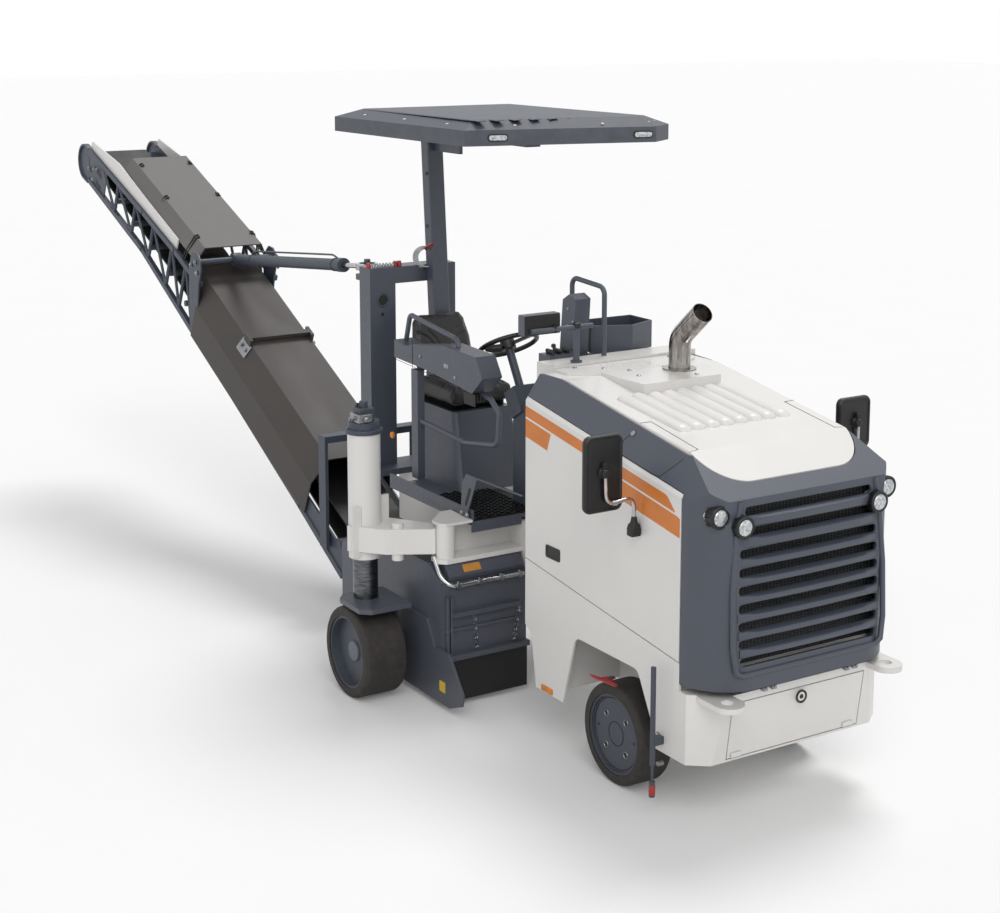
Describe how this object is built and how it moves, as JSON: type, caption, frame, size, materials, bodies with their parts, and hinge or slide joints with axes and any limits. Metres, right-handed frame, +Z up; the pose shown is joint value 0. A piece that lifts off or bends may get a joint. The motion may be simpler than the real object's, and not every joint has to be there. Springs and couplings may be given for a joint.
{
  "type": "cold planer",
  "caption": "Compact four-wheeled cold planer with lifting rear legs, a side-mounted milling drum, an operator's seat under a canopy and a slewing rear loading conveyor.",
  "frame": {"origin": "on the ground, under the middle of the machine's bounding box; the middle of the front axle is 3.600 m ahead of it and 0.149 m to the left", "axes": "+X forward, +Y to the machine's left, +Z up"},
  "size_m": [9.0989, 2.2336, 3.4799],
  "materials": {
    "white_paint": "gloss off-white paint on pressed steel",
    "grey_paint": "satin blue-grey paint",
    "dark_paint": "satin dark blue-grey paint on welded steel",
    "cover_grey": "matt warm grey coating, dusty",
    "tyre": "smooth solid rubber",
    "black_rubber": "matt black rubber",
    "seat_cover": "black seat cover",
    "chrome": "bright chrome",
    "steel": "bare steel",
    "black_plastic": "moulded black plastic",
    "canopy_plastic": "textured dark grey plastic",
    "lamp": "clear lamp glass",
    "red_paint": "red paint"
  },
  "bodies": {
    "machine": {"aiming_rod": "red_paint", "bumper": "white_paint", "canopy_mast": "grey_paint", "canopy_roof": "canopy_plastic", "chassis_front": "dark_paint", "chassis_rear": "white_paint", "console_right": "grey_paint", "dashboard": "grey_paint", "display": "black_plastic", "drum_gate": "grey_paint", "drum_housing": "grey_paint", "engine_block": "dark_paint", "entry_step": "grey_paint", "fenders": "white_paint", "front_axle_beam": "dark_paint", "gantry": "grey_paint", "grab_hoop": "grey_paint", "handrails": "grey_paint", "lift_columns": "white_paint", "platform_floor": "dark_paint", "rear_bulkhead": "white_paint", "rubber_flap": "black_rubber", "seat_back": "seat_cover", "seat_cushion": "seat_cover", "seat_pedestal": "grey_paint", "side_plate": "grey_paint", "steering_column": "grey_paint", "steering_wheel": "black_plastic", "swing_arm": "white_paint", "valve_box": "dark_paint"},
    "conveyor_swivel": {"conveyor_swivel": "grey_paint"},
    "conveyor": {"conveyor_frame": "dark_paint", "conveyor_belt": "black_rubber", "conveyor_cover": "cover_grey", "conveyor_strips": "white_paint"},
    "hoist_barrel": {"lift_cylinder": "dark_paint"},
    "hoist_rod": {"lift_rod": "chrome"},
    "hood": {"side_panels": "white_paint", "hood_top": "white_paint", "cowl": "grey_paint", "headlights": "lamp", "grille_mesh": "black_plastic", "exhaust_pipe": "chrome", "mirrors": "black_plastic"},
    "bumper_door": {"bumper_door": "white_paint"},
    "knuckle_right": {"knuckle_right": "dark_paint"},
    "knuckle_left": {"knuckle_left": "dark_paint"},
    "wheel_front_right": {"front_right_tyre": "tyre", "front_right_rim": "dark_paint"},
    "wheel_front_left": {"front_left_tyre": "tyre", "front_left_rim": "dark_paint"},
    "wheel_rear_right": {"rear_right_tyre": "tyre", "rear_right_rim": "dark_paint"},
    "wheel_rear_left": {"rear_left_tyre": "tyre", "rear_left_rim": "dark_paint"},
    "leg_right": {"leg_right": "dark_paint"},
    "leg_left": {"leg_left": "dark_paint"},
    "milling_drum": {"milling_drum": "steel"}
  },
  "joints": [
    {"name": "steer_right", "type": "hinge", "parent": "machine", "child": "knuckle_right", "pos_m": [3.59958, -0.20075, 0.28], "axis": [0, 0, 1], "range_deg": [-28, 28]},
    {"name": "steer_left", "type": "hinge", "parent": "machine", "child": "knuckle_left", "pos_m": [3.59958, 0.49925, 0.28], "axis": [0, 0, 1], "range_deg": [-28, 28]},
    {"name": "front_right_spin", "type": "hinge", "parent": "knuckle_right", "child": "wheel_front_right", "pos_m": [3.59958, -0.36675, 0.28], "axis": [0, 1, 0], "continuous": true},
    {"name": "front_left_spin", "type": "hinge", "parent": "knuckle_left", "child": "wheel_front_left", "pos_m": [3.59958, 0.66525, 0.28], "axis": [0, 1, 0], "continuous": true},
    {"name": "leg_right_slide", "type": "slide", "parent": "machine", "child": "leg_right", "axis": [0, 0, 1], "range_m": [-0.05, 0.25]},
    {"name": "leg_left_slide", "type": "slide", "parent": "machine", "child": "leg_left", "axis": [0, 0, 1], "range_m": [-0.05, 0.25]},
    {"name": "rear_right_spin", "type": "hinge", "parent": "leg_right", "child": "wheel_rear_right", "pos_m": [1.72258, -0.97075, 0.28], "axis": [0, 1, 0], "continuous": true},
    {"name": "rear_left_spin", "type": "hinge", "parent": "leg_left", "child": "wheel_rear_left", "pos_m": [1.72258, 0.65125, 0.28], "axis": [0, 1, 0], "continuous": true},
    {"name": "drum_spin", "type": "hinge", "parent": "machine", "child": "milling_drum", "pos_m": [1.72258, -0.41675, 0.358], "axis": [0, 1, 0], "continuous": true},
    {"name": "conveyor_slew", "type": "hinge", "parent": "machine", "child": "conveyor_swivel", "pos_m": [0.29958, -0.18575, 1.3], "axis": [0, 0, 1], "range_deg": [-25, 25]},
    {"name": "conveyor_lift", "type": "hinge", "parent": "conveyor_swivel", "child": "conveyor", "pos_m": [0.29958, -0.18575, 0.54], "axis": [0, 1, 0], "range_deg": [-10, 8]},
    {"name": "hoist_pivot", "type": "hinge", "parent": "conveyor", "child": "hoist_barrel", "pos_m": [-1.90009, -0.18575, 2.18381], "axis": [0, 1, 0], "range_deg": [-4, 4]},
    {"name": "hoist_slide", "type": "slide", "parent": "hoist_barrel", "child": "hoist_rod", "axis": [0.9952, 0, 0.0978], "range_m": [-0.35, 0.4]},
    {"name": "hood_open", "type": "hinge", "parent": "machine", "child": "hood", "pos_m": [4.46658, 0.14925, 0.752], "axis": [0, 1, 0], "range_deg": [0, 60]},
    {"name": "bumper_door_open", "type": "hinge", "parent": "machine", "child": "bumper_door", "pos_m": [4.35158, 0.14925, 0.374], "axis": [0, 1, 0], "range_deg": [0, 90]}
  ],
  "couplings": [
    {"joint": "steer_left", "follows": "steer_right", "ratio": 1},
    {"joint": "hoist_pivot", "follows": "conveyor_lift", "ratio": -0.0955},
    {"joint": "hoist_slide", "follows": "conveyor_lift", "m_per_rad": -1.859}
  ]
}
